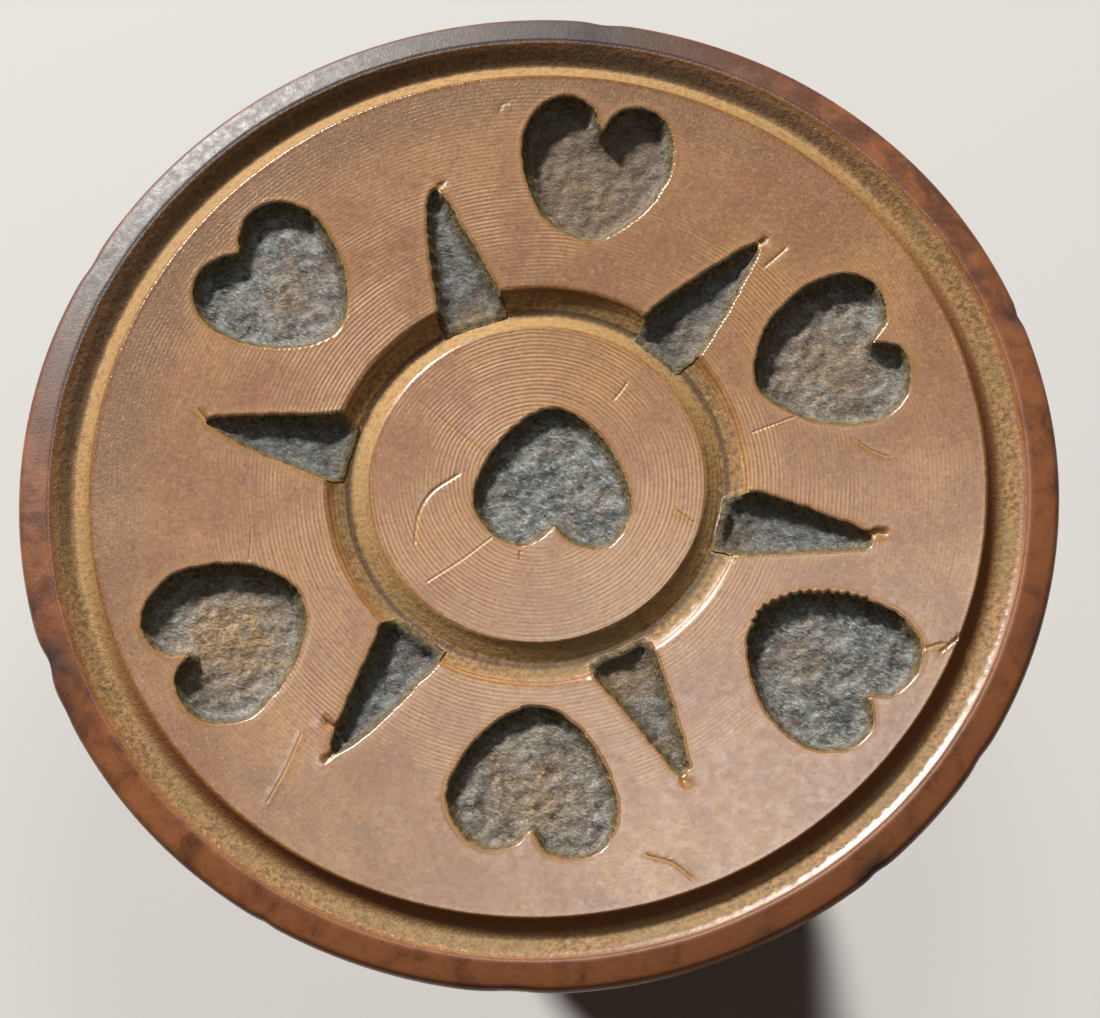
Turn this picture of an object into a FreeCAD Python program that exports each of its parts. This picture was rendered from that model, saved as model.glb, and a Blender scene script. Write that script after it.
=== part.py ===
"""Butter print: a round wooden hand stamp with a carved face and a turned handle.

Frame: +Z along the turning axis. The stamp stands on the flat foot of its handle with
the carved face up, and the origin is the middle of that foot. Lengths are millimetres.
"""
import FreeCAD, Part
import math
import os

import Sketcher

# Driving dimensions: alias in the sheet, value, meaning.
SIZES = (
    # the print disc
    ("print_radius", 54.0, "outermost radius of the disc"),
    ("print_thickness", 22.0, "carved face to the back of the hub"),
    ("rim_thickness", 7.0, "thickness of the disc at its rim"),
    ("rim_round", 1.2, "rounding of the rim on the face side"),
    ("rim_bevel_width", 3.7, "width of the slope that falls outwards to the rounding"),
    ("rim_bevel_drop", 0.95, "fall of that slope below the face"),
    ("rim_land", 1.3, "from the rounding in to the outer groove, at the face's height"),
    ("rim_back_round", 4.6, "rounding of the rim on the back"),
    ("back_slope", 7.0, "how much thicker the disc is at the hub than at the rim"),
    ("hub_radius", 17.0, "hub that seats on the handle"),
    ("hub_cove", 5.0, "hollow rounding between the back and the hub"),
    ("hub_round", 1.2, "rounding of the hub's edge"),
    # the two turned V grooves
    ("outer_groove_rim_wall", 3.3, "width of the outer groove's wall on the rim side"),
    ("outer_groove_field_wall", 1.7, "width of the outer groove's wall on the field side"),
    ("outer_groove_depth", 1.55, "depth of the outer groove"),
    ("centre_radius", 17.5, "disc left standing in the middle of the face"),
    ("inner_groove_centre_wall", 1.8, "width of the inner groove's wall round the centre"),
    ("inner_groove_field_wall", 2.5, "width of the inner groove's wall on the field side"),
    ("inner_groove_depth", 1.5, "depth of the inner groove"),
    # the carved hearts and rays
    ("heart_width", 16.9, "across the two lobes"),
    ("heart_height", 16.2, "point to the top of the lobes"),
    ("heart_lobe_radius", 4.33, "radius of each lobe"),
    ("centre_heart_across", 1.7, "middle heart, out of the centre along X"),
    ("centre_heart_up", 0.4, "middle heart, out of the centre along Y"),
    ("centre_heart_depth", 1.4, "face to the floor of the middle heart"),
    ("ray_width", 7.0, "width of a ray where it leaves the inner groove"),
    ("ray_tip_width", 1.2, "width of a ray at its tip"),
    ("ray_length", 15.9, "inner groove's root to a ray's tip"),
    ("ray_depth", 2.2, "depth of a ray at the inner groove"),
    ("ray_tip_depth", 1.2, "depth of a ray at its tip"),
    # the joint between the two pieces
    ("tenon_radius", 7.5, "round tenon on the handle"),
    ("tenon_length", 12.0, "shoulder to the end of the tenon"),
    ("tenon_clearance", 0.08, "radial play of the dry tenon in its socket"),
    ("socket_end_gap", 1.0, "room past the end of the tenon"),
    ("tenon_chamfer", 0.8, "lead-in at the tenon's end and at the socket's mouth"),
    # the handle
    ("handle_length", 60.0, "foot to the shoulder"),
    ("knob_radius", 17.5, "round grip"),
    ("knob_centre", 14.0, "height of the grip's middle above the foot"),
    ("neck_radius", 8.5, "thinnest place of the handle"),
    ("neck_cove", 24.0, "radius of the hollow between grip and collar"),
    ("collar_radius", 15.5, "collar under the shoulder"),
    ("collar_height", 6.0, "height of the collar"),
    ("collar_round", 2.0, "rounding of the collar's two edges"),
    ("foot_round", 1.5, "rounding of the foot's edge"),
)

# The hearts of the ring point at the centre. They were cut by eye, so each has its own
# azimuth, gap between its lobes and the field's edge, twist off the radius, and depth.
HEARTS = (
    ("east", 24.4, 5.0, -2.4, 1.9),
    ("north", 81.0, 2.7, 5.5, 2.4),
    ("north_west", 141.0, 3.2, 0.0, 1.8),
    ("south_west", -152.0, 3.2, 0.0, 1.9),
    ("south", -90.0, 6.0, 0.0, 1.2),
    ("south_east", -35.0, 3.0, 0.0, 1.6),
)

# The rays run out of the inner groove between the hearts, each at its own azimuth.
RAYS = (
    ("east", -11.5),
    ("north_east", 49.5),
    ("north", 109.0),
    ("west", 169.5),
    ("south_west", -126.0),
    ("south", -64.5),
)

FIELD_RADIUS = (
    "(sizes.print_radius - sizes.rim_round - sizes.rim_land"
    " - sizes.outer_groove_rim_wall - sizes.outer_groove_field_wall)"
)
CUT_OVERRUN = 1.0  # how far a cutting wedge stands above the face


def make_sheet(doc):
    """The sheet of driving dimensions, one aliased number to a row."""
    sheet = doc.addObject("Spreadsheet::Sheet", "sizes")
    rows = list(SIZES)
    for name, azimuth, gap, twist, depth in HEARTS:
        rows.append((f"heart_{name}_azimuth", azimuth, f"{name} heart, degrees from +X"))
        rows.append((f"heart_{name}_gap", gap, f"{name} heart, lobes to the field's edge"))
        rows.append((f"heart_{name}_twist", twist, f"{name} heart, degrees off the radius"))
        rows.append((f"heart_{name}_depth", depth, f"{name} heart, face to its floor"))
    for name, azimuth in RAYS:
        rows.append((f"ray_{name}_azimuth", azimuth, f"{name} ray, degrees from +X"))
    for row, (alias, value, meaning) in enumerate(rows, start=1):
        sheet.set(f"A{row}", alias)
        sheet.set(f"B{row}", str(value))
        sheet.set(f"C{row}", meaning)
        sheet.setAlias(f"B{row}", alias)
    doc.recompute()
    return sheet


def new_body(doc, label):
    body = doc.addObject("PartDesign::Body", label)
    body.Label = label
    return body


def origin_plane(body, role):
    return next(f for f in body.Origin.OriginFeatures if f.Role == role)


def new_sketch(body, name, role):
    sketch = body.newObject("Sketcher::SketchObject", name)
    sketch.AttachmentSupport = (origin_plane(body, role), "")
    sketch.MapMode = "FlatFace"
    return sketch


def pin_point(sketch, geometry, point, across, up):
    """Fix one sketch point at two sheet formulas, given with their present values."""
    for kind, (value, formula) in (("DistanceX", across), ("DistanceY", up)):
        index = sketch.addConstraint(
            Sketcher.Constraint(kind, -1, 1, geometry, point, value)
        )
        sketch.setExpression(f"Constraints[{index}]", formula)


class Formulas:
    """Works out a formula of the sheet's aliases for a sketch's first geometry."""

    def __init__(self, sheet):
        self.sheet = sheet

    def __call__(self, formula):
        return float(self.sheet.evalExpression(formula)), formula


def section(body, name, formulas, corners, arcs=()):
    """A closed half-section in the XZ plane. corners are (radius, height) formulas;
    arcs maps a side's number to the (radius, height) formulas of its centre and to
    True where the side turns anticlockwise."""
    sketch = new_sketch(body, name, "XZ_Plane")
    arcs = dict(arcs)
    points = [(formulas(radius), formulas(height)) for radius, height in corners]
    places = [FreeCAD.Vector(radius[0], height[0], 0) for radius, height in points]
    count = len(points)
    for side, start in enumerate(places):
        end = places[(side + 1) % count]
        if side not in arcs:
            sketch.addGeometry(Part.LineSegment(start, end), False)
            continue
        (centre_radius, centre_height), anticlockwise = arcs[side]
        centre = FreeCAD.Vector(formulas(centre_radius)[0], formulas(centre_height)[0], 0)
        sketch.addGeometry(arc_about(centre, start, end, anticlockwise), False)
    for side, place in enumerate(points):
        begins = 1 if side not in arcs or arcs[side][1] else 2
        pin_point(sketch, side, begins, *place)
        before = (side - 1) % count
        ends = 2 if before not in arcs or arcs[before][1] else 1
        sketch.addConstraint(Sketcher.Constraint("Coincident", before, ends, side, begins))
    for side, ((centre_radius, _), _) in arcs.items():
        index = sketch.addConstraint(
            Sketcher.Constraint("DistanceX", -1, 1, side, 3, formulas(centre_radius)[0])
        )
        sketch.setExpression(f"Constraints[{index}]", centre_radius)
    return sketch


def arc_about(centre, start, end, anticlockwise):
    """The arc of a circle about centre from start to end."""
    first, last = (start, end) if anticlockwise else (end, start)
    circle = Part.Circle(centre, FreeCAD.Vector(0, 0, 1), centre.distanceToPoint(start))
    return Part.ArcOfCircle(circle, circle.parameter(first), circle.parameter(last))


def turn(body, name, sketch, kind="PartDesign::Revolution"):
    """Revolve a half-section about the body's Z axis, to add or to cut."""
    feature = body.newObject(kind, name)
    feature.Profile = sketch
    feature.ReferenceAxis = (origin_plane(body, "Z_Axis"), [""])
    feature.Angle = 360
    sketch.Visibility = False
    return feature


def circle_edges(shape, radius, height):
    """Names of the full circles of one radius at one height about the Z axis."""
    names = []
    for number, edge in enumerate(shape.Edges, start=1):
        curve = edge.Curve
        if not isinstance(curve, Part.Circle) or not edge.isClosed():
            continue
        on_axis = math.hypot(curve.Center.x, curve.Center.y) < 1e-6
        same = abs(curve.Radius - radius) < 1e-4 and abs(curve.Center.z - height) < 1e-4
        if on_axis and same:
            names.append(f"Edge{number}")
    if not names:
        raise ValueError(f"no circle of radius {radius} at height {height}")
    return names


def dress_edges(doc, body, name, kind, size, circles):
    """Fillet or chamfer the given (radius, height) circles by one size of the sheet."""
    doc.recompute()
    base = body.Tip
    edges = [n for radius, height in circles for n in circle_edges(base.Shape, radius, height)]
    feature = body.newObject(f"PartDesign::{kind}", name)
    feature.Base = (base, edges)
    feature.setExpression("Radius" if kind == "Fillet" else "Size", size)
    return feature


def require_cut(doc, body, before, name):
    """Stop if a cut took nothing away from the body."""
    doc.recompute()
    after = body.Shape.Volume
    if after > before - 1e-3:
        raise ValueError(f"{name} cut nothing")
    return after


def make_blank(doc, body, formulas):
    """The turned disc with its bevelled rim, sloping back and hub, face at height 0."""
    rim, face = "sizes.print_radius", "0"
    back = "-sizes.rim_thickness"
    bevel = "sizes.print_radius - sizes.rim_round"
    round_top = "-sizes.rim_bevel_drop"
    round_end = "-sizes.rim_bevel_drop - sizes.rim_round"
    rim_back = "sizes.print_radius - sizes.rim_back_round"
    hub_top = "-sizes.rim_thickness - sizes.back_slope"
    hub_back = "-sizes.print_thickness"
    corners = (
        ("0", face), (f"{bevel} - sizes.rim_bevel_width", face), (bevel, round_top),
        (rim, round_end),
        (rim, f"{back} + sizes.rim_back_round"), (rim_back, back),
        ("sizes.hub_radius", hub_top), ("sizes.hub_radius", hub_back), ("0", hub_back),
    )
    arcs = {
        2: ((bevel, round_end), False),
        4: ((rim_back, f"{back} + sizes.rim_back_round"), False),
    }
    turn(body, "blank", section(body, "blank_section", formulas, corners, arcs))
    hub = formulas("sizes.hub_radius")[0]
    hub_wall = "(sizes.print_thickness - sizes.rim_thickness - sizes.back_slope)"
    dress_edges(doc, body, "hub_cove", "Fillet",
                f"min(sizes.hub_cove; 0.9 * ({hub_wall} - sizes.hub_round))",
                [(hub, formulas(hub_top)[0])])
    dress_edges(doc, body, "hub_edge", "Fillet", "sizes.hub_round",
                [(hub, formulas(hub_back)[0])])
    doc.recompute()


def cut_groove(doc, body, formulas, name, outer, root, inner, depth):
    """A turned V groove, given by the radii of its two edges and of its root."""
    before = body.Shape.Volume
    corners = ((inner, "0"), (root, f"-{depth}"), (outer, "0"))
    sketch = section(body, f"{name}_section", formulas, corners)
    turn(body, name, sketch, "PartDesign::Groove")
    require_cut(doc, body, before, name)


def cut_socket(doc, body):
    """The blind round socket for the handle's tenon, bored from the hub's back."""
    before = body.Shape.Volume
    sketch = new_sketch(body, "socket_circle", "XY_Plane")
    sketch.setExpression("AttachmentOffset.Base.z", "-sizes.print_thickness")
    sketch.addGeometry(Part.Circle(FreeCAD.Vector(), FreeCAD.Vector(0, 0, 1), 1.0), False)
    sketch.addConstraint(Sketcher.Constraint("Coincident", 0, 3, -1, 1))
    radius = sketch.addConstraint(Sketcher.Constraint("Radius", 0, 1.0))
    sketch.setExpression(f"Constraints[{radius}]",
                         "sizes.tenon_radius + sizes.tenon_clearance")
    pocket = body.newObject("PartDesign::Pocket", "socket")
    pocket.Profile = sketch
    pocket.Reversed = True
    pocket.setExpression("Length", "sizes.tenon_length + sizes.socket_end_gap")
    sketch.Visibility = False
    require_cut(doc, body, before, "socket")


def heart_sketch(body, name, formulas, across, up, turned):
    """A heart outline on the face, its point towards local -Y: an arc for each lobe and
    an arc for each side, which meets its lobe smoothly at the widest place."""
    sketch = new_sketch(body, name, "XY_Plane")
    width, height = formulas("sizes.heart_width")[0], formulas("sizes.heart_height")[0]
    lobe = formulas("sizes.heart_lobe_radius")[0]
    lobe_x, lobe_y = width / 2 - lobe, height / 2 - lobe
    notch = FreeCAD.Vector(0, lobe_y + math.sqrt(lobe ** 2 - lobe_x ** 2), 0)
    point = FreeCAD.Vector(0, -height / 2, 0)
    side = ((width / 2) ** 2 + (lobe_y + height / 2) ** 2) / width
    for sign in (1, -1):
        widest = FreeCAD.Vector(sign * width / 2, lobe_y, 0)
        lobe_centre = FreeCAD.Vector(sign * lobe_x, lobe_y, 0)
        side_centre = FreeCAD.Vector(sign * (width / 2 - side), lobe_y, 0)
        sketch.addGeometry(arc_about(lobe_centre, widest, notch, sign > 0), False)
        sketch.addGeometry(arc_about(side_centre, point, widest, sign > 0), False)
    # the right-hand arcs start where the left-hand ones end
    for lobe_arc, side_arc, lobe_end, side_end in ((0, 1, 1, 2), (2, 3, 2, 1)):
        sketch.addConstraint(
            Sketcher.Constraint("Tangent", lobe_arc, lobe_end, side_arc, side_end)
        )
        sketch.addConstraint(Sketcher.Constraint("Horizontal", lobe_arc, 3, side_arc, 3))
    sketch.addConstraint(Sketcher.Constraint("PointOnObject", 0, 2, -2))
    sketch.addConstraint(Sketcher.Constraint("Coincident", 0, 2, 2, 1))
    sketch.addConstraint(Sketcher.Constraint("Coincident", 1, 1, 3, 2))
    sketch.addConstraint(Sketcher.Constraint("Equal", 0, 2))
    radius = sketch.addConstraint(Sketcher.Constraint("Radius", 0, lobe))
    sketch.setExpression(f"Constraints[{radius}]", "sizes.heart_lobe_radius")
    middle_x = "sizes.heart_width / 2 - sizes.heart_lobe_radius"
    middle_y = "sizes.heart_height / 2 - sizes.heart_lobe_radius"
    pin_point(sketch, 0, 3, formulas(middle_x), formulas(middle_y))
    height_of_left = sketch.addConstraint(
        Sketcher.Constraint("DistanceY", -1, 1, 2, 3, lobe_y)
    )
    sketch.setExpression(f"Constraints[{height_of_left}]", middle_y)
    pin_point(sketch, 1, 1, (0.0, "0"), (-height / 2, "-sizes.heart_height / 2"))
    sketch.setExpression("AttachmentOffset.Base.x", across)
    sketch.setExpression("AttachmentOffset.Base.y", up)
    sketch.setExpression("AttachmentOffset.Rotation.Angle", turned)
    return sketch


def cut_heart(doc, body, formulas, name, across, up, turned, depth):
    """A heart-shaped pocket with a flat floor."""
    before = body.Shape.Volume
    sketch = heart_sketch(body, f"{name}_outline", formulas, across, up, turned)
    pocket = body.newObject("PartDesign::Pocket", name)
    pocket.Profile = sketch
    pocket.setExpression("Length", depth)
    sketch.Visibility = False
    require_cut(doc, body, before, name)


def cut_ray(doc, body, name, azimuth):
    """A ray: a tapering slot whose floor rises from the inner groove to the tip."""
    before = body.Shape.Volume
    wedge = body.newObject("PartDesign::SubtractiveWedge", name)
    wedge.AttachmentSupport = (origin_plane(body, "XY_Plane"), "")
    wedge.MapMode = "FlatFace"
    root = "(sizes.centre_radius + sizes.inner_groove_centre_wall)"
    for side, formula in (
        ("Ymin", root), ("Ymax", f"{root} + sizes.ray_length"),
        ("Xmin", "-sizes.ray_width / 2"), ("Xmax", "sizes.ray_width / 2"),
        ("X2min", "-sizes.ray_tip_width / 2"), ("X2max", "sizes.ray_tip_width / 2"),
        ("Zmin", "-sizes.ray_depth"), ("Z2min", "-sizes.ray_tip_depth"),
    ):
        wedge.setExpression(side, formula)
    wedge.Zmax = wedge.Z2max = CUT_OVERRUN
    wedge.setExpression("AttachmentOffset.Rotation.Angle", f"{azimuth} - 90")
    require_cut(doc, body, before, name)


def make_print(doc, formulas):
    """The print disc: turned blank, two grooves, socket, seven hearts and six rays."""
    body = new_body(doc, "print_disc")
    make_blank(doc, body, formulas)
    cut_groove(
        doc, body, formulas, "outer_groove",
        "sizes.print_radius - sizes.rim_round - sizes.rim_land",
        f"{FIELD_RADIUS} + sizes.outer_groove_field_wall",
        FIELD_RADIUS, "sizes.outer_groove_depth",
    )
    cut_groove(
        doc, body, formulas, "inner_groove",
        "sizes.centre_radius + sizes.inner_groove_centre_wall"
        " + sizes.inner_groove_field_wall",
        "sizes.centre_radius + sizes.inner_groove_centre_wall",
        "sizes.centre_radius", "sizes.inner_groove_depth",
    )
    cut_socket(doc, body)
    dress_edges(
        doc, body, "socket_mouth", "Chamfer", "sizes.tenon_chamfer",
        [(formulas("sizes.tenon_radius + sizes.tenon_clearance")[0],
          formulas("-sizes.print_thickness")[0])],
    )
    doc.recompute()
    for name, *_ in HEARTS:
        azimuth = f"sizes.heart_{name}_azimuth"
        middle = f"({FIELD_RADIUS} - sizes.heart_{name}_gap - sizes.heart_height / 2)"
        cut_heart(
            doc, body, formulas, f"heart_{name}",
            f"{middle} * cos({azimuth} * 1deg)", f"{middle} * sin({azimuth} * 1deg)",
            f"{azimuth} + sizes.heart_{name}_twist - 90", f"sizes.heart_{name}_depth",
        )
    cut_heart(doc, body, formulas, "heart_centre", "sizes.centre_heart_across",
              "sizes.centre_heart_up", "180", "sizes.centre_heart_depth")
    for name, _ in RAYS:
        cut_ray(doc, body, f"ray_{name}", f"sizes.ray_{name}_azimuth")
    body.setExpression("Placement.Base.z", "sizes.handle_length + sizes.print_thickness")
    return body


def make_handle(doc, formulas):
    """The turned handle: flat foot, round grip, hollow neck, collar and tenon."""
    body = new_body(doc, "turned_handle")
    foot = "sqrt(sizes.knob_radius ^ 2 - sizes.knob_centre ^ 2)"
    cove_x = "(sizes.neck_radius + sizes.neck_cove)"
    reach = "(sizes.knob_radius + sizes.neck_cove)"
    rise = f"sqrt({reach} ^ 2 - {cove_x} ^ 2)"
    cove_z = f"(sizes.knob_centre + {rise})"
    collar = "(sizes.handle_length - sizes.collar_height)"
    under = f"{cove_x} - sqrt(sizes.neck_cove ^ 2 - ({collar} - {cove_z}) ^ 2)"
    share = f"sizes.knob_radius / {reach}"
    shoulder, end = "sizes.handle_length", "sizes.handle_length + sizes.tenon_length"
    corners = (
        ("0", "0"), (foot, "0"),
        (f"{cove_x} * {share}", f"sizes.knob_centre + {rise} * {share}"),
        (under, collar), ("sizes.collar_radius", collar),
        ("sizes.collar_radius", shoulder), ("sizes.tenon_radius", shoulder),
        ("sizes.tenon_radius", end), ("0", end),
    )
    arcs = {
        1: (("0", "sizes.knob_centre"), True),
        2: ((cove_x, cove_z), False),
    }
    turn(body, "handle", section(body, "handle_section", formulas, corners, arcs))
    radius = formulas("sizes.collar_radius")[0]
    dress_edges(doc, body, "collar_edges", "Fillet", "sizes.collar_round",
                [(radius, formulas(collar)[0]), (radius, formulas(shoulder)[0])])
    dress_edges(doc, body, "foot_edge", "Fillet", "sizes.foot_round",
                [(formulas(foot)[0], 0.0)])
    dress_edges(doc, body, "tenon_end", "Chamfer", "sizes.tenon_chamfer",
                [(formulas("sizes.tenon_radius")[0], formulas(end)[0])])
    return body


def check_document(doc, bodies):
    """Stop if any object failed or any piece is not one sound solid."""
    for obj in doc.Objects:
        if {"Invalid", "Error"} & set(obj.State):
            raise ValueError(f"{obj.Name} is {obj.State}")
    for body in bodies:
        shape = body.Shape
        if shape.isNull() or not shape.isValid() or len(shape.Solids) != 1:
            raise ValueError(f"{body.Label} is not one valid solid")


def main():
    doc = FreeCAD.newDocument("butter_print")
    formulas = Formulas(make_sheet(doc))
    bodies = [make_print(doc, formulas), make_handle(doc, formulas)]
    doc.recompute()
    check_document(doc, bodies)
    os.makedirs("parts", exist_ok=True)
    for body in bodies:
        body.Shape.exportStep(os.path.join("parts", f"{body.Label}.step"))
        box = body.Shape.BoundBox
        print(f"{body.Label}: {body.Shape.Volume / 1000:.1f} cm3, "
              f"height {box.ZMin:.2f} to {box.ZMax:.2f} mm")


main()
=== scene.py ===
"""A carved wooden butter print standing on its turned handle, face up.

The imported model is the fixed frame: the print disc's and the handle's places come from
it. Both pieces are remade here as worn wood. Lengths are millimetres until a mesh is
made; angles are degrees from +X, anticlockwise seen from above.
"""
import math

import bmesh
import bpy
import numpy as np
from mathutils import Matrix, Vector, noise
from mathutils.geometry import delaunay_2d_cdt


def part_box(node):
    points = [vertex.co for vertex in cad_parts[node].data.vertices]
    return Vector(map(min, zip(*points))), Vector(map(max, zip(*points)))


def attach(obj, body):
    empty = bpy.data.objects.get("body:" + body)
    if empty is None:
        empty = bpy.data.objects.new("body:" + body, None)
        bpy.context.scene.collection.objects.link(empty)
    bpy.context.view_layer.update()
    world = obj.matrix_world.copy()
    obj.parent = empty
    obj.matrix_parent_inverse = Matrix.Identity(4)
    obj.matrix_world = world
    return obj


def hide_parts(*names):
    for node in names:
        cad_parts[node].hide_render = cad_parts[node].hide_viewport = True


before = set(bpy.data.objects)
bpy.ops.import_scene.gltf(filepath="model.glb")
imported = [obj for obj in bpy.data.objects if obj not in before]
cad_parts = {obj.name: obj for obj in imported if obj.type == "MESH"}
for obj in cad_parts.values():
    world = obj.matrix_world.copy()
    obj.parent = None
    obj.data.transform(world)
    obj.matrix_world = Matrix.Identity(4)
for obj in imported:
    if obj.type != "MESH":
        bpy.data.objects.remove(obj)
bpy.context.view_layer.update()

MM = 0.001
INSET = 0.05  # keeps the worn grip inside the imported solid
RIM_INSET = 0.22  # and the worn, oval rim
FAR = 9.0  # stands for any distance too great to matter


def box_mm(node):
    low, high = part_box(node)
    return [c / MM for c in low], [c / MM for c in high]


DISC_LOW, DISC_HIGH = box_mm("print_disc")
HANDLE_LOW, HANDLE_HIGH = box_mm("turned_handle")
FACE_Z = DISC_HIGH[2]
HUB_Z = DISC_LOW[2]
RIM = (DISC_HIGH[0] - DISC_LOW[0]) / 2 - RIM_INSET
FOOT_Z, TENON_Z = HANDLE_LOW[2], HANDLE_HIGH[2]

# Radii of the face's turned edges, from the rim inwards.
CREST = RIM - 3.2
OUTER_ROOT = RIM - 5.6
FIELD = RIM - 7.4
INNER_EDGE = 21.8
INNER_ROOT = 19.2
CENTRE = 17.4
OUTER_DEPTH, INNER_DEPTH = 1.5, 1.45
CREST_DROP = 0.4  # the rim is worn lower than the field
LIP = 0.3  # worn rounding of the turned edges
BEAD = 0.05  # burnished beads stand this much above the face
SINK = 0.06  # the beads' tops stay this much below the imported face
DEEP_SIDE = 119  # the turned grooves are deepest towards this azimuth
DEEPER = 0.18  # and by this share
OVAL = 0.0025  # the rim has shrunk by this share along Y, and grown along X

RING_STEPS = 480  # points on each ring near the rim
FILL = 0.82  # spacing of the field's points
CLEAR = 0.75  # ring points keep this far from a carved edge
ROW = 0.32  # spacing of the points along a carved outline
NET = 0.42  # spacing of the points on a carved floor
JITTER = 0.1  # and how far each is moved
HANDLE_STEPS = 168  # points on each ring of the handle

TENON_RADIUS, SOCKET_RADIUS = 7.5, 7.58
SOCKET_DEPTH = 13.0
HUB_RADIUS = 16.9


# --- outlines ---------------------------------------------------------------------------
# Each heart: azimuth, gap between lobes and field's edge, twist, depth, and the points of
# its outline from the notch clockwise, with its point towards -Y and its middle at (0, 0).
HEART_REACH = 8.1  # middle to the top of the lobes
HEARTS = {
    "east": (24.4, 5.0, -2.4, 1.9, (
        (-0.1, 5.0), (1.3, 7.3), (3.5, 7.7), (6.4, 6.3), (8.2, 3.0), (7.5, -1.2),
        (5.0, -5.2), (1.4, -7.8), (-0.6, -8.1), (-3.6, -6.7), (-6.6, -3.7), (-8.5, 0.8),
        (-8.5, 4.8), (-6.6, 7.4), (-4.2, 8.0), (-1.6, 7.1))),
    "north": (81.0, 2.7, 5.5, 2.4, (
        (0.75, 4.8), (2.0, 6.9), (4.2, 7.7), (6.7, 6.8), (8.3, 4.0), (8.1, 0.0),
        (5.8, -4.3), (2.4, -7.2), (0.2, -8.1), (-2.6, -7.3), (-5.3, -5.1), (-7.2, -1.0),
        (-7.8, 3.0), (-6.6, 6.8), (-3.6, 8.7), (-0.6, 7.6))),
    "north_west": (141.0, 3.2, 0.0, 1.8, (
        (0.1, 5.8), (1.6, 7.1), (4.0, 8.0), (6.8, 6.8), (8.4, 3.6), (7.8, 0.0),
        (5.5, -4.4), (2.4, -7.3), (0.2, -8.0), (-2.4, -7.3), (-5.4, -4.6), (-7.7, -0.4),
        (-8.2, 3.4), (-7.0, 6.2), (-4.4, 7.7), (-1.7, 7.1))),
    "south_west": (-152.0, 3.2, 0.0, 1.9, (
        (0.0, 5.0), (1.1, 7.0), (3.6, 8.2), (6.6, 7.1), (8.6, 3.4), (8.0, -0.8),
        (5.6, -5.2), (2.6, -7.5), (0.4, -8.1), (-2.8, -7.1), (-6.0, -4.2), (-8.2, -0.2),
        (-8.9, 2.9), (-7.4, 6.4), (-4.4, 7.9), (-1.4, 7.3))),
    "south": (-90.0, 6.0, 0.0, 1.2, (
        (0.1, 4.9), (1.7, 6.5), (4.2, 7.0), (7.0, 5.7), (8.8, 2.0), (7.9, -1.6),
        (5.0, -5.5), (2.0, -7.6), (-0.2, -8.1), (-3.2, -7.1), (-6.2, -3.9), (-8.3, 0.8),
        (-8.5, 4.2), (-6.8, 7.2), (-3.9, 8.0), (-1.2, 7.1))),
    "south_east": (-35.0, 3.0, 0.0, 1.6, (
        (-0.5, 5.8), (0.7, 7.2), (2.9, 8.1), (5.7, 6.8), (7.6, 3.4), (7.2, -0.8),
        (5.2, -4.5), (2.4, -7.2), (0.4, -8.2), (-2.6, -8.2), (-6.0, -5.8), (-8.6, -1.4),
        (-9.6, 3.0), (-8.4, 6.9), (-5.4, 8.4), (-2.2, 7.8))),
}
CENTRE_HEART = (1.7, 0.4, -90.0, 1.35, (
    (-0.1, 5.2), (1.6, 6.8), (3.8, 7.3), (6.5, 5.9), (8.3, 2.6), (7.5, -1.0),
    (4.9, -5.1), (1.9, -7.4), (0.0, -7.9), (-2.4, -7.0), (-5.2, -4.4), (-7.6, 0.0),
    (-8.1, 3.6), (-6.6, 6.7), (-4.2, 7.7), (-1.6, 6.8)))

# Each ray: azimuth and the points of its outline from the left of its base clockwise,
# tip towards +Y, with y = 0 at RAY_MIDDLE from the centre.
RAY_MIDDLE = 27.0
RAYS = {
    "east": (-11.5, (
        (-2.7, -8.0), (-3.3, -6.2), (-3.6, -4.0), (-3.0, 0.6), (-2.2, 5.0), (-1.5, 7.6),
        (-0.6, 8.2), (0.4, 7.5), (1.3, 4.4), (2.3, 0.6), (3.2, -3.0), (3.7, -5.4),
        (3.3, -7.9))),
    "north_east": (49.5, (
        (-3.0, -8.3), (-3.5, -6.4), (-3.6, -4.2), (-2.7, 0.2), (-1.6, 4.4), (-0.8, 6.9),
        (0.0, 8.2), (0.9, 7.3), (1.7, 4.2), (2.6, 0.7), (3.3, -3.0), (3.6, -5.2),
        (2.8, -8.4))),
    "north": (109.0, (
        (-3.8, -8.0), (-4.0, -6.2), (-3.5, -3.0), (-2.8, 0.8), (-2.0, 4.0), (-1.2, 6.5),
        (-0.1, 8.1), (1.0, 7.0), (1.6, 3.6), (2.3, 0.0), (2.8, -3.2), (3.2, -6.0),
        (3.1, -7.9))),
    "west": (169.5, (
        (-3.2, -7.2), (-3.7, -5.8), (-3.3, -3.6), (-2.6, -0.4), (-2.0, 2.6), (-0.9, 5.8),
        (0.3, 8.3), (1.2, 7.0), (2.0, 3.6), (2.8, -0.4), (3.5, -3.6), (4.0, -5.5),
        (2.8, -7.5))),
    "south_west": (-126.0, (
        (-3.2, -7.0), (-3.6, -5.2), (-3.2, -1.4), (-2.9, 1.6), (-2.4, 4.6), (-1.7, 7.2),
        (-0.8, 8.5), (0.2, 7.8), (1.2, 4.8), (2.1, 1.2), (3.0, -2.6), (3.8, -5.4),
        (3.2, -6.9))),
    "south": (-64.5, (
        (-2.9, -7.2), (-3.3, -5.8), (-3.0, -3.0), (-2.5, 0.4), (-1.9, 4.0), (-1.2, 7.1),
        (-0.3, 7.8), (0.5, 7.2), (1.2, 4.6), (2.0, 1.0), (2.8, -2.4), (3.7, -5.6),
        (3.3, -7.2))),
}
RAY_DEPTH, RAY_TIP_DEPTH = 2.1, 1.25
RAY_SLOPE = 1.55  # steepness of a ray's walls


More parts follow.
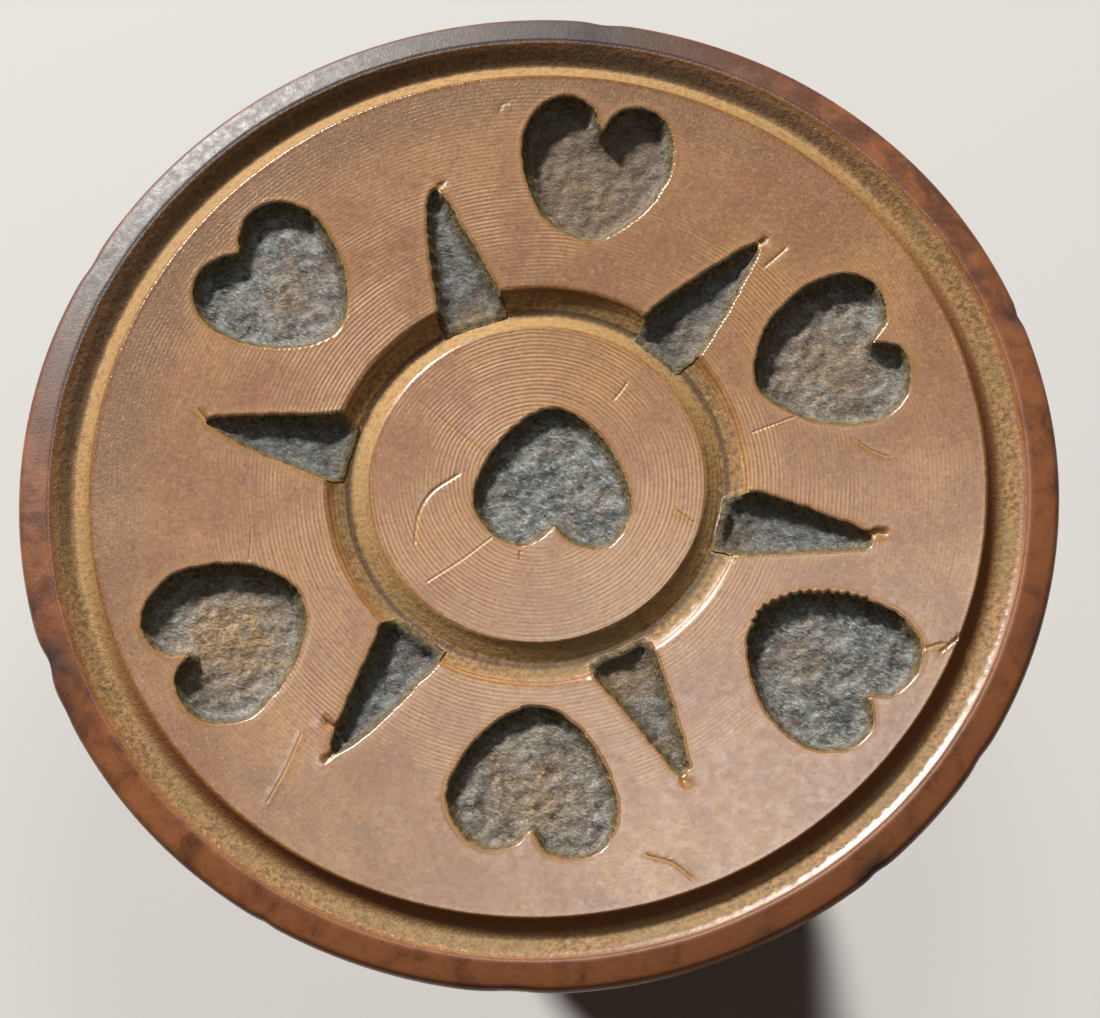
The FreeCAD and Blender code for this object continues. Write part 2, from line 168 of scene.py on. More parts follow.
def placed(points, x, y, up):
    """Local points with local +Y turned to the azimuth up, moved to (x, y)."""
    turn = math.radians(up - 90)
    c, s = math.cos(turn), math.sin(turn)
    return points @ np.array(((c, s), (-s, c))) + (x, y)


def rounded(points, step, corners):
    """A closed Catmull-Rom curve through points, sampled at about step. It has a corner
    at each point whose number is in corners."""
    points = np.asarray(points, float)
    count = len(points)
    samples = []
    for i in range(count):
        a, b = points[i], points[(i + 1) % count]
        before = a - (b - a) if i in corners else points[i - 1]
        after = b + (b - a) if (i + 1) % count in corners else points[(i + 2) % count]
        t = np.linspace(0, 1, 24, endpoint=False)[:, None]
        samples.append(0.5 * (2 * a + (b - before) * t
                              + (2 * before - 5 * a + 4 * b - after) * t ** 2
                              + (3 * a - before - 3 * b + after) * t ** 3))
    dense = np.vstack(samples)
    gaps = np.linalg.norm(np.roll(dense, -1, axis=0) - dense, axis=1)
    along = np.concatenate(([0], np.cumsum(gaps)))
    marks = np.linspace(0, along[-1], max(12, round(along[-1] / step)), endpoint=False)
    closed = np.vstack((dense, dense[:1]))
    return np.column_stack([np.interp(marks, along, closed[:, k]) for k in (0, 1)])


def chatter(outline, first, last, depth):
    """Knife slips: small outward teeth between two shares of the outline's length."""
    made = outline.copy()
    tangent = np.roll(outline, -1, axis=0) - np.roll(outline, 1, axis=0)
    tangent /= np.linalg.norm(tangent, axis=1)[:, None]
    outward = np.column_stack((-tangent[:, 1], tangent[:, 0]))
    for i in range(len(outline)):
        share = i / len(outline)
        if first < share < last:
            made[i] += outward[i] * depth * (i % 3 == 0)
    return made


def unsteady(outline, amount, seed):
    """The knife's small wavering along an outline."""
    made = outline.copy()
    for i, (x, y) in enumerate(outline):
        made[i, 0] += amount * fractal(x, y, seed, 1.1, 2)
        made[i, 1] += amount * fractal(y, x, seed + 20, 1.1, 2)
    return made


class Pocket:
    """One carved hollow: its outline, and the depth of its floor at a place."""

    def __init__(self, name, outline, place, depth, tip_depth=None):
        self.name = name
        self.outline = outline
        self.place = place
        self.depth = depth
        self.tip_depth = tip_depth
        self.wall = 0.45 + 0.42 * depth  # width of the sloping wall
        self.middle = outline.mean(axis=0)
        self.reach = np.linalg.norm(outline - self.middle, axis=1).max()

    def inside(self, points):
        """Distance of each point inside the outline, negative outside, and far outside
        for points that are nowhere near."""
        result = np.full(len(points), -FAR)
        near = np.linalg.norm(points - self.middle, axis=1) < self.reach + 3
        p = points[near]
        a, b = self.outline, np.roll(self.outline, -1, axis=0)
        best = np.full(len(p), 99.0)
        odd = np.zeros(len(p), bool)
        for start, end in zip(a, b):
            edge = end - start
            t = np.clip((p - start) @ edge / (edge @ edge), 0, 1)
            best = np.minimum(best, np.linalg.norm(p - start - t[:, None] * edge, axis=1))
            crosses = (start[1] > p[:, 1]) != (end[1] > p[:, 1])
            rise = edge[1] if edge[1] else 1e-12
            odd ^= crosses & (p[:, 0] < start[0] + (p[:, 1] - start[1]) * edge[0] / rise)
        result[near] = np.where(odd, best, -best)
        return result

    def floor(self, points):
        """Depth of the floor at each point: level in a heart, rising to a ray's tip."""
        if self.tip_depth is None:
            return np.full(len(points), self.depth)
        x, y, up = self.place
        out = (points - (x, y)) @ (math.cos(math.radians(up)), math.sin(math.radians(up)))
        return np.interp(out, (-8, 7), (self.depth, self.tip_depth))

    def height(self, points, inside):
        """The carved surface: a worn lip, a sloping wall and the floor."""
        floor = self.floor(points)
        if self.tip_depth is None:
            share = np.interp(inside / self.wall, (0, 0.12, 0.8, 1.0, 1.35), (0, 0.16, 0.86, 0.97, 1))
        else:
            share = np.clip(RAY_SLOPE * inside / floor, 0, 2)
            share = np.interp(share, (0, 0.7, 1.0, 1.35), (0, 0.7, 0.9, 1.0))
        lip = np.interp(inside, (-0.45, -0.28, -0.15, 0), (0, -BEAD / 2, -BEAD / 2, 0.09))
        return -(lip + share * (floor - 0.09)) * (inside > -0.45)


def make_pockets():
    pockets = []
    for name, (azimuth, gap, twist, depth, points) in HEARTS.items():
        middle = FIELD - gap - HEART_REACH
        x = middle * math.cos(math.radians(azimuth))
        y = middle * math.sin(math.radians(azimuth))
        outline = rounded(points, ROW, {0})
        if name == "south_east":
            outline = chatter(outline, 0.47, 0.70, 0.28)
        outline = unsteady(outline, 0.12, azimuth)
        place = (x, y, azimuth + twist)
        pockets.append(Pocket(f"heart_{name}", placed(outline, *place), place, depth))
    x, y, up, depth, points = CENTRE_HEART
    outline = placed(unsteady(rounded(points, ROW, {0}), 0.12, 3), x, y, up)
    pockets.append(Pocket("heart_centre", outline, (x, y, up), depth))
    for name, (azimuth, points) in RAYS.items():
        x = RAY_MIDDLE * math.cos(math.radians(azimuth))
        y = RAY_MIDDLE * math.sin(math.radians(azimuth))
        outline = unsteady(rounded(points, ROW, {0, len(points) - 1}), 0.14, azimuth)
        place = (x, y, azimuth)
        pockets.append(
            Pocket(f"ray_{name}", placed(outline, *place), place, RAY_DEPTH, RAY_TIP_DEPTH)
        )
    return pockets


# --- the face ---------------------------------------------------------------------------
def turned_profile():
    """Radii and heights of the turned face without its carving, centre to crest."""
    inner, outer = INNER_DEPTH, OUTER_DEPTH
    rows = (
        (0, 0), (CENTRE - 0.75, 0), (CENTRE - 0.4, BEAD), (CENTRE - 0.22, BEAD),
        (CENTRE - 0.05, -0.01), (CENTRE + 0.15, -0.26),
        (INNER_ROOT - 0.2, -inner + 0.14), (INNER_ROOT, -inner),
        (INNER_ROOT + 0.35, -inner + 0.06), (INNER_EDGE - 0.75, -0.82),
        (INNER_EDGE - 0.12, -0.2), (INNER_EDGE + 0.05, -0.03), (INNER_EDGE + LIP, BEAD / 2),
        (INNER_EDGE + 0.7, 0), (FIELD - 0.75, 0), (FIELD - 0.4, BEAD),
        (FIELD - 0.22, BEAD), (FIELD - 0.05, -0.01), (FIELD + 0.15, -0.3),
        (FIELD + 0.75, -0.98), (OUTER_ROOT - 0.25, -outer + 0.1), (OUTER_ROOT, -outer),
        (OUTER_ROOT + 0.35, -outer + 0.06), (CREST - 0.6, -CREST_DROP - 0.3),
        (CREST - 0.2, -CREST_DROP - 0.06), (CREST, -CREST_DROP),
    )
    return np.array(rows).T


PROFILE = turned_profile()


def turned_height(points, radius):
    """Height of the turned face, with its grooves deeper on one side."""
    azimuth = np.degrees(np.arctan2(points[:, 1], points[:, 0]))
    deeper = 1 + DEEPER * np.cos(np.radians(azimuth - DEEP_SIDE))
    height = np.interp(radius, *PROFILE)
    drop = np.interp(radius, (OUTER_ROOT, CREST), (0, -CREST_DROP))
    return drop + (height - drop) * deeper


def fractal(x, y, z, scale, octaves=3):
    """Smooth noise between about -1 and 1 at a scale in mm."""
    return noise.fractal(Vector((x / scale, y / scale, z / scale)), 0.6, 2.0, octaves)


def face_rows(radius, steps, turned=0.0):
    angles = (np.arange(steps) + turned) * (2 * math.pi / steps)
    return np.column_stack((radius * np.cos(angles), radius * np.sin(angles)))


def nearest(pockets, points):
    """For each point the greatest distance inside any pocket, and its distance inside
    each of them."""
    inside = [pocket.inside(points) for pocket in pockets]
    return np.max(inside, axis=0), inside


def face_points(pockets, rng):
    """The points of the face: rings on the turned parts, rows along every carved edge,
    and a loose fill between them. Returns them with the edges of the rings that no
    pocket cuts and of the closed outlines."""
    rings = [face_rows(CREST, RING_STEPS)]
    turned = list(PROFILE[0][1:-1])
    turned += [18.2, 19.8, 20.3, 20.8]
    turned += list(np.linspace(OUTER_ROOT + 0.35, CREST - 0.6, 5)[1:-1])
    turned += [FIELD + 0.45, FIELD + 1.1]
    for k, radius in enumerate(turned):
        steps = RING_STEPS if radius > FIELD - 1 else 260
        rings.append(face_rows(radius, steps, 0.5 * (k % 2)))
    ring_points = np.vstack(rings)

    fill = []
    for low, high in ((0.6, CENTRE - 1.3), (INNER_EDGE + 1.3, FIELD - 1.3)):
        count = max(2, round((high - low) / FILL))
        for k, radius in enumerate(np.linspace(low, high, count)):
            steps = max(6, round(2 * math.pi * radius / FILL))
            fill.append(face_rows(radius, steps, 0.5 * (k % 2)))
    fill.append(np.zeros((1, 2)))
    fill_points = np.vstack(fill)

    deepest, _ = nearest(pockets, ring_points)
    keep_rings = (deepest < -CLEAR) | (np.arange(len(ring_points)) < RING_STEPS)
    numbers = np.cumsum(keep_rings) - 1
    edges, begin = [], 0
    for ring in rings:
        count = len(ring)
        if keep_rings[begin:begin + count].all():
            own = numbers[begin:begin + count]
            edges += [(int(own[i]), int(own[(i + 1) % count])) for i in range(count)]
        begin += count
    deepest, _ = nearest(pockets, fill_points)
    parts = [ring_points[keep_rings], fill_points[deepest < -1.2]]
    start = sum(len(p) for p in parts)

    for pocket in pockets:
        count = len(pocket.outline)
        edges += [(start + i, start + (i + 1) % count) for i in range(count)]
        start += count
        parts.append(pocket.outline)
    for pocket in pockets:
        parts.append(row_points(pocket, pockets))
        parts.append(floor_points(pocket, rng))
    rows = np.vstack([scratch.rows() for scratch in SCRATCHES])
    deepest, _ = nearest(pockets, rows)
    parts.append(rows[(deepest < -0.25) & (np.hypot(*rows.T) < CREST - 0.5)])
    return np.vstack(parts), edges


def row_points(pocket, pockets):
    """Rows of points beside a carved edge, on both sides of it."""
    outline = pocket.outline
    tangent = np.roll(outline, -1, axis=0) - np.roll(outline, 1, axis=0)
    tangent /= np.linalg.norm(tangent, axis=1)[:, None]
    inward = np.column_stack((tangent[:, 1], -tangent[:, 0]))
    wall = pocket.wall
    offsets = (-CLEAR, -0.45, -0.28, -0.14, 0.1, 0.3, wall * 0.55, wall * 0.85, wall * 1.1,
               wall * 1.5)
    kept = []
    for number, offset in enumerate(offsets):
        every = 1 if -0.5 < offset < wall else 2
        row = (outline + inward * offset)[number % every::every]
        deepest, _ = nearest(pockets, row)
        kept.append(row[np.abs(deepest - offset) < 0.06])
    return np.vstack(kept)


def floor_points(pocket, rng):
    """A jittered triangular net on a pocket's floor."""
    low, high = pocket.outline.min(axis=0), pocket.outline.max(axis=0)
    xs = np.arange(low[0], high[0], NET)
    ys = np.arange(low[1], high[1], NET * 0.866)
    grid = np.array([(x + NET / 2 * (k % 2), y) for k, y in enumerate(ys) for x in xs])
    grid += rng.uniform(-JITTER, JITTER, grid.shape)
    return grid[pocket.inside(grid) > pocket.wall * 1.5 + 0.3]


def flaky(x, y):
    """The torn floor of a pocket: low steps, cut across the grain."""
    along, across = 0.8 * x + 0.6 * y, 0.8 * y - 0.6 * x
    value = fractal(along / 1.7, across, 3.0, 0.95, 4) + 0.5 * fractal(x, y, 9.0, 3.2)
    step = math.floor(value * 3)
    rest = value * 3 - step
    return 0.075 * (0.7 * (step + rest ** 4) + 0.3 * value * 3)


class Scratch:
    """A fine cut on the face: the places it passes through, its half width and depth."""

    def __init__(self, points, half=0.13, depth=0.12):
        self.points = eased(points, 0.22)
        self.half, self.depth = half, depth

    def distance(self, points):
        result = np.full(len(points), FAR)
        near = np.linalg.norm(points - self.points.mean(axis=0), axis=1) < FAR
        p = points[near]
        best = np.full(len(p), FAR)
        for a, b in zip(self.points[:-1], self.points[1:]):
            edge = b - a
            t = np.clip((p - a) @ edge / (edge @ edge), 0, 1)
            best = np.minimum(best, np.linalg.norm(p - a - t[:, None] * edge, axis=1))
        result[near] = best
        return result

    def share(self, points):
        return np.exp(-(self.distance(points) / self.half) ** 2)

    def cut(self, points):
        return self.depth * self.share(points)

    def rows(self):
        tangent = np.gradient(self.points, axis=0)
        tangent /= np.linalg.norm(tangent, axis=1)[:, None]
        side = np.column_stack((-tangent[:, 1], tangent[:, 0]))
        return np.vstack([self.points + side * k * self.half for k in (-2.6, -1, 0, 1, 2.6)])


def at(azimuth, radius):
    return (radius * math.cos(math.radians(azimuth)), radius * math.sin(math.radians(azimuth)))


def on_ray(name, *points):
    """Places given beside a ray, in millimetres across and along it from its middle."""
    azimuth = RAYS[name][0]
    x, y = at(azimuth, RAY_MIDDLE)
    return placed(np.array(points, float), x, y, azimuth)


def make_scratches():
    return (
        Scratch(((-12.5, -6.6), (-12.2, -3.6), (-10.9, -1.1), (-8.2, 0.9)), 0.12, 0.13),
        Scratch(((-12.5, 9.0), (-9.0, 6.1), (-4.9, 2.8)), 0.10, 0.06),
        Scratch(((-4.6, -6.0), (-7.6, -8.4), (-11.1, -10.8)), 0.10, 0.07),
        Scratch(((-1.7, -6.9), (-1.6, -7.4), (-1.65, -8.0)), 0.10, 0.12),
        Scratch(((14.2, -3.0), (15.1, -3.6), (16.0, -4.4)), 0.10, 0.09),
        Scratch(((7.9, 9.2), (8.6, 10.1), (9.2, 11.0)), 0.10, 0.08),
        Scratch((at(-24, 45.2), at(-22.2, 45.9), at(-20.6, 46.6)), 0.14, 0.14),
        Scratch((at(-27.2, 41.4), at(-24.6, 43.4), at(-22.8, 45.0)), 0.13, 0.12),
        Scratch(((-4.4, 42.3), (-4.2, 42.9), (-3.5, 43.2)), 0.14, 0.1),
        Scratch((at(45.6, 34.0), at(45.5, 35.2), at(45.4, 36.6)), 0.10, 0.12),
        Scratch((at(14.0, 22.9), at(14.8, 25.5), at(15.4, 28.4)), 0.09, 0.07),
        Scratch((at(8.5, 33.0), at(6.0, 34.5), at(4.4, 36.4)), 0.10, 0.08),
        Scratch((at(197, 31.0), at(193, 30.2), at(189.5, 29.8)), 0.10, 0.08),
        Scratch((at(-74, 41.5), at(-71, 43.0), at(-69.4, 45.0)), 0.12, 0.08),
        Scratch((at(-131, 36.0), at(-129, 40.0), at(-128, 43.6)), 0.10, 0.07),
        Scratch(on_ray("north", (0.1, 7.6), (0.7, 8.1), (1.2, 8.3)), 0.22, 0.34),
        Scratch(on_ray("north_east", (0.0, 7.6), (0.15, 8.4), (0.3, 9.1)), 0.2, 0.4),
        Scratch(on_ray("east", (-1.0, 7.4), (-1.7, 8.3), (-1.8, 9.2)), 0.26, 0.5),
        Scratch(on_ray("south_west", (0.0, 5.9), (0.9, 6.3), (1.9, 6.5)), 0.26, 0.45),
        Scratch(on_ray("south_west", (-0.9, 7.6), (-0.7, 8.6), (-0.6, 9.2)), 0.22, 0.4),
        Scratch(on_ray("west", (0.3, 7.6), (0.7, 8.5), (1.2, 9.1)), 0.2, 0.35),
        Scratch(on_ray("south", (-0.2, 7.0), (0.0, 7.8), (0.1, 8.5)), 0.18, 0.3),
    )


def face_heights(points, pockets):
    """Height of each point of the face, its distance inside the nearest pocket, and the
    depth that the carving takes off there."""
    radius = np.linalg.norm(points, axis=1)
    turned = turned_height(points, radius)
    deepest, inside = nearest(pockets, points)
    carved = np.zeros(len(points))
    for pocket, depth in zip(pockets, inside):
        cut = pocket.height(points, depth)
        carved = np.where((cut < 0) | (carved < 0), np.minimum(cut, carved), cut + carved)
    height = np.where(carved > 0, turned + carved * (turned > -0.05), np.minimum(turned, carved))
    height -= BEAD + SINK
    rough = np.interp(deepest, (0.1, 1.1), (0, 1))
    for i, (x, y) in enumerate(points):
        if rough[i]:
            height[i] += rough[i] * flaky(x, y)
        height[i] += 0.03 * fractal(x, y, 0.0, 14.0, 2)
    for scratch in SCRATCHES:
        height -= scratch.cut(points) * (deepest < 0.3)
    return np.minimum(height, -0.01), deepest


def face_mesh(pockets):
    """Triangulates the face and returns its points, heights and triangles, with every
    point's distance inside a pocket and whether that is a ray's."""
    rng = np.random.default_rng(11)
    points, edges = face_points(pockets, rng)
    flat = [Vector(p) for p in points]
    made, _, triangles, *_ = delaunay_2d_cdt(flat, edges, [], 0, 1e-4)
    places = np.array([tuple(v) for v in made])
    heights, inside = face_heights(places, pockets)
    rays = [pocket for pocket in pockets if pocket.tip_depth is not None]
    in_ray = nearest(rays, places)[0] > -0.2
    return places, heights, triangles, inside, in_ray


# --- surfaces of revolution -------------------------------------------------------------
def arc(centre, radius, first, last, steps):
    """Points of a circle's arc in the (radius, height) plane, from one angle to another."""
    angles = np.radians(np.linspace(first, last, steps))
    return [(centre[0] + radius * math.cos(a), centre[1] + radius * math.sin(a)) for a in angles]


def eased(points, step):
    """A smooth curve through (radius, height) points, sampled about every step."""
    points = np.asarray(points, float)
    padded = np.vstack((2 * points[0] - points[1], points, 2 * points[-1] - points[-2]))
    made = [points[0]]
    for i in range(1, len(padded) - 2):
        before, a, b, after = padded[i - 1:i + 3]
        count = max(2, round(np.linalg.norm(b - a) / step))
        for t in np.arange(1, count + 1) / count:
            made.append(0.5 * (2 * a + (b - before) * t
                               + (2 * before - 5 * a + 4 * b - after) * t ** 2
                               + (3 * a - before - 3 * b + after) * t ** 3))
    return np.array(made)


def rings_of(profile, steps):
    """Vertices of the rings that a (radius, height) profile turns into."""
    angles = np.arange(steps) * (2 * math.pi / steps)
    c, s = np.cos(angles), np.sin(angles)
    return np.array([np.column_stack((r * c, r * s, np.full(steps, z))) for r, z in profile])


def bridge(first, second, steps):
    """Quads between two rings, each given by the number of its first vertex."""
    following = [(i + 1) % steps for i in range(steps)]
    return [(first + i, second + i, second + j, first + j) for i, j in enumerate(following)]


def dent(points, azimuth, height, width, tall, depth):
    """Press a soft hollow into a turned side: a place, its width along the ring, its
    height, and its depth towards the axis."""
    angle = np.degrees(np.arctan2(points[..., 1], points[..., 0]))
    away = (angle - azimuth + 180) % 360 - 180
    radius = np.hypot(points[..., 0], points[..., 1])
    across = np.radians(away) * radius / width
    up = (points[..., 2] - height) / tall
    push = 1 - depth * np.exp(-(across ** 2 + up ** 2)) / np.maximum(radius, 1)
    made = points.copy()
    made[..., 0] *= push
    made[..., 1] *= push
    return made


def wander(points, scale, amount, seed):
    """Turned wood is never quite true: a slow noise on the radius."""
    made = points.copy()
    flat = made.reshape(-1, 3)
    for row in flat:
        share = 1 + amount * fractal(row[0], row[1], row[2] + seed, scale, 2) / 10
        row[:2] *= share
    return made


def finished_mesh(name, vertices, faces, attributes=None):
    """A smooth-shaded object from millimetre vertices, with float attributes."""
    mesh = bpy.data.meshes.new(name)
    mesh.from_pydata([tuple(v) for v in np.asarray(vertices) * MM], [], faces)
    mesh.validate()
    for label, values in (attributes or {}).items():
        made = mesh.attributes.new(label, "FLOAT", "POINT")
        made.data.foreach_set("value", np.asarray(values, np.float32))
    mesh.polygons.foreach_set("use_smooth", [True] * len(mesh.polygons))
    mesh.update()
    obj = bpy.data.objects.new(name, mesh)
    bpy.context.scene.collection.objects.link(obj)
    return obj


SCRATCHES = make_scratches()

# --- the print disc ---------------------------------------------------------------------
# Azimuth, height above the face, half width, half height and depth of each dent.
RIM_DENTS = (
    (201, -2.0, 1.8, 1.4, 0.45), (207, -3.0, 1.2, 1.4, 0.2), (83, -1.6, 1.6, 1.2, 0.25),
    (21, -1.6, 0.8, 1.4, 0.22), (-33, -2.2, 1.4, 1.8, 0.18), (-92, -2.2, 2.6, 1.4, 0.28),
    (-50, -2.0, 1.0, 1.6, 0.2), (152, -1.6, 1.6, 1.4, 0.18), (240, -2.0, 0.8, 1.2, 0.15),
    (290, -4.4, 2.2, 1.3, 0.3), (120, -4.6, 2.0, 1.4, 0.3), (40, -4.8, 1.6, 1.2, 0.3),
    (345, -5.0, 2.6, 1.6, 0.3), (170, -5.2, 1.8, 1.3, 0.3),
)


def disc_profile():
    """Crest, worn rim, underside, hub, socket: (radius, height above the face)."""
    hub = HUB_Z - FACE_Z
    rim = eased(((CREST, -CREST_DROP), (RIM - 2.2, -0.66), (RIM - 0.6, -1.1),
                 (RIM - 0.18, -1.32), (RIM, -1.75), (RIM - 0.08, -2.5), (RIM - 0.6, -3.6),
                 (RIM - 1.7, -5.1), (RIM - 2.9, -6.4), (RIM - 3.9, -7.05)), 0.36)
    back = eased(((RIM - 3.9, -7.05), (42.0, -8.75), (33.0, -10.6), (26.0, -12.1),
                  (22.2, -13.1), (19.3, -14.6), (17.6, -16.9), (16.95, -19.0),
                  (HUB_RADIUS, -20.8)), 1.3)
    floor = hub + SOCKET_DEPTH
    seat = [(16.6, hub + 0.45), (15.8, hub + 0.03), (12.5, hub), (9.0, hub),
            (8.35, hub), (7.7, hub + 0.65), (SOCKET_RADIUS, hub + 1.2),
            (SOCKET_RADIUS, hub + 6), (SOCKET_RADIUS, floor - 0.6), (7.3, floor - 0.1),
            (5.0, floor), (2.0, floor)]
    return np.vstack((rim, back[1:], seat))


def make_disc(pockets):
    """The carved face, joined along the rim's crest to the turned rim and back."""
    places, heights, triangles, inside, in_ray = face_mesh(pockets)
    face = np.column_stack((places, heights))
    ring = [int(np.argmin(np.hypot(*(places - p).T))) for p in face_rows(CREST, RING_STEPS)]
    rings = rings_of(disc_profile()[1:], RING_STEPS)
    rings = wander(rings, 30.0, 0.015, 40)
    for azimuth, height, width, tall, depth in RIM_DENTS:
        rings = dent(rings, azimuth, height, width, tall, depth)
    vertices = np.vstack((face, rings.reshape(-1, 3), [(0, 0, rings[-1][0][2])]))
    first = len(face)
    faces = [tuple(t) for t in triangles]
    following = [(i + 1) % RING_STEPS for i in range(RING_STEPS)]
    faces += [(ring[i], first + i, first + j, ring[j]) for i, j in enumerate(following)]
    for k in range(len(rings) - 1):
        start = first + k * RING_STEPS
        faces += bridge(start, start + RING_STEPS, RING_STEPS)
    last = first + (len(rings) - 1) * RING_STEPS
    faces += [(last + i, len(vertices) - 1, last + j) for i, j in enumerate(following)]
    pocket = np.full(len(vertices), -FAR)
    pocket[:first] = inside
    ray = np.zeros(len(vertices))
    ray[:first] = in_ray
    flat = vertices[:, :2]
    masks = {"pocket_mm": pocket, "ray": ray, "golden": golden_share(flat),
             "mark": rim_marks(vertices),
             "nick": np.max([scratch.share(flat) for scratch in SCRATCHES], axis=0)}
    outwards = np.interp(np.hypot(*flat.T), (FIELD, RIM), (0, OVAL))
    vertices[:, 0] *= 1 + outwards
    vertices[:, 1] *= 1 - outwards
    vertices[:, 2] += FACE_Z
    disc = finished_mesh("Print_Disc", vertices, faces, masks)
    fix_normals(disc)
    return disc


# Old butter has stained some floors golden: place, radius and strength of each stain.
STAINS = (
    (at(-152, 35.0), 5.0, 1.0), (at(-146, 33.0), 3.4, 0.5), (at(-90, 33.0), 6.0, 0.55),
    (at(81, 34.0), 6.5, 0.6), (at(24, 33.0), 6.0, 0.45), (at(141, 34.0), 3.0, 0.35),
    (at(-66, 22.5), 3.4, 0.9), (at(-64, 31.0), 2.0, 0.6), (at(-35, 33.0), 3.0, 0.25),
    (at(-20, 21.0), 2.4, 0.5), (at(109, 19.5), 2.4, 0.7), (at(45, 24.0), 2.6, 0.5),
)


def golden_share(flat):
    share = np.zeros(len(flat))
    for place, radius, strength in STAINS:
        away = np.linalg.norm(flat - place, axis=1) / radius
        share = np.maximum(share, strength * np.exp(-away ** 2))
    return share


# Dark bruises on the rim: azimuth, radius, reach along the rim, reach across, strength.
BRUISES = (
    (201, 53.0, 2.6, 2.0, 1.0), (194, 53.6, 2.0, 1.2, 0.7), (208, 53.4, 1.6, 1.0, 0.6),
    (84, 51.6, 2.6, 1.8, 0.8), (90, 51.4, 1.2, 0.8, 0.5), (99, 51.8, 2.4, 0.8, 0.4),
    (154, 52.4, 2.6, 1.4, 0.5), (146, 51.2, 1.4, 0.6, 0.4), (21, 52.8, 0.9, 1.6, 0.7),
    (310, 53.4, 2.2, 1.0, 0.7), (296, 53.0, 1.4, 0.8, 0.5), (342, 53.2, 2.4, 1.2, 0.5),
    (268, 53.4, 1.6, 0.8, 0.35), (229, 42.5, 1.5, 1.0, 0.5), (246, 41.0, 1.2, 0.7, 0.4),
)


def rim_marks(vertices):
    azimuth = np.degrees(np.arctan2(vertices[:, 1], vertices[:, 0]))
    radius = np.hypot(vertices[:, 0], vertices[:, 1])
    share = np.zeros(len(vertices))
    for middle, place, along, across, strength in BRUISES:
        away = (azimuth - middle + 180) % 360 - 180
        away = np.radians(away) * place / along
        share = np.maximum(share, strength * np.exp(-away ** 2 - ((radius - place) / across) ** 2))
    return share


def fix_normals(obj):
    """Points every face outwards."""
    work = bmesh.new()
    work.from_mesh(obj.data)
    bmesh.ops.recalc_face_normals(work, faces=work.faces)
    work.to_mesh(obj.data)
    work.free()


# --- the handle -------------------------------------------------------------------------
KNOB_CENTRE, KNOB_RADIUS = 14.0, 17.5 - INSET
SHOULDER = HUB_Z


def handle_profile():
    """Foot, grip, neck, collar and tenon, from the axis at the foot to the axis on top."""
    foot = [(0.0, 0.5), (0.8, 0.35), (1.3, 0.02), (5.0, 0.0), (8.6, 0.0), (9.4, 0.15)]
    grip = arc((0, KNOB_CENTRE), KNOB_RADIUS, -52, 34, 34)
    neck = eased((grip[-1], (13.3, 25.6), (11.2, 29.2), (9.4, 33.6), (8.55, 38.6),
                  (8.7, 43.2), (9.8, 48.2), (11.6, 52.2), (12.6, 53.6)), 0.9)
    top = SHOULDER
    collar = [(13.4, 54.05), (14.4, 54.4), (15.1, 55.1), (15.4, 56.2), (15.42, 57.4),
              (15.2, 58.6), (14.6, 59.5), (13.8, 59.9), (12.8, top - 0.02), (10.0, top),
              (7.9, top), (TENON_RADIUS, top + 0.1)]
    tenon = [(TENON_RADIUS, height) for height in (top + 1, top + 4, top + 8, TENON_Z - 0.9)]
    tenon += [(7.3, TENON_Z - 0.5), (6.75, TENON_Z - 0.06), (6.2, TENON_Z), (3.0, TENON_Z)]
    return np.vstack((foot[1:], grip, neck[1:], collar, tenon))


# Azimuth, height, half width, half height and depth of each dent.
HANDLE_DENTS = (
    (-70, 20.0, 1.6, 1.2, 0.3), (15, 10.0, 1.2, 1.8, 0.35), (120, 16.0, 2.2, 0.9, 0.3),
    (205, 22.0, 1.4, 1.4, 0.3), (300, 6.0, 1.2, 1.0, 0.25), (250, 57.0, 1.5, 0.8, 0.3),
    (40, 58.5, 1.0, 0.8, 0.25), (160, 12.0, 1.0, 2.6, 0.25), (340, 27.0, 1.0, 1.2, 0.2),
)


def make_handle():
    steps = HANDLE_STEPS
    rings = rings_of(handle_profile(), steps)
    body = rings[:, 0, 2] < SHOULDER - 0.5
    rings[body] = wander(rings[body], 16.0, 0.06, 7)
    for azimuth, height, width, tall, depth in HANDLE_DENTS:
        rings[body] = dent(rings[body], azimuth, height, width, tall, depth)
    top, bottom = rings[-1][0][2], rings[0][0][2] + 0.1
    vertices = np.vstack((rings.reshape(-1, 3), [(0, 0, bottom), (0, 0, top)]))
    vertices[:, 2] += FOOT_Z
    faces = []
    for k in range(len(rings) - 1):
        faces += bridge(k * steps, (k + 1) * steps, steps)
    last, ends = (len(rings) - 1) * steps, len(vertices)
    for i in range(steps):
        j = (i + 1) % steps
        faces.append((i, j, ends - 2))
        faces.append((last + i, last + j, ends - 1))
    handle = finished_mesh("Turned_Handle", vertices, faces)
    fix_normals(handle)
    return handle


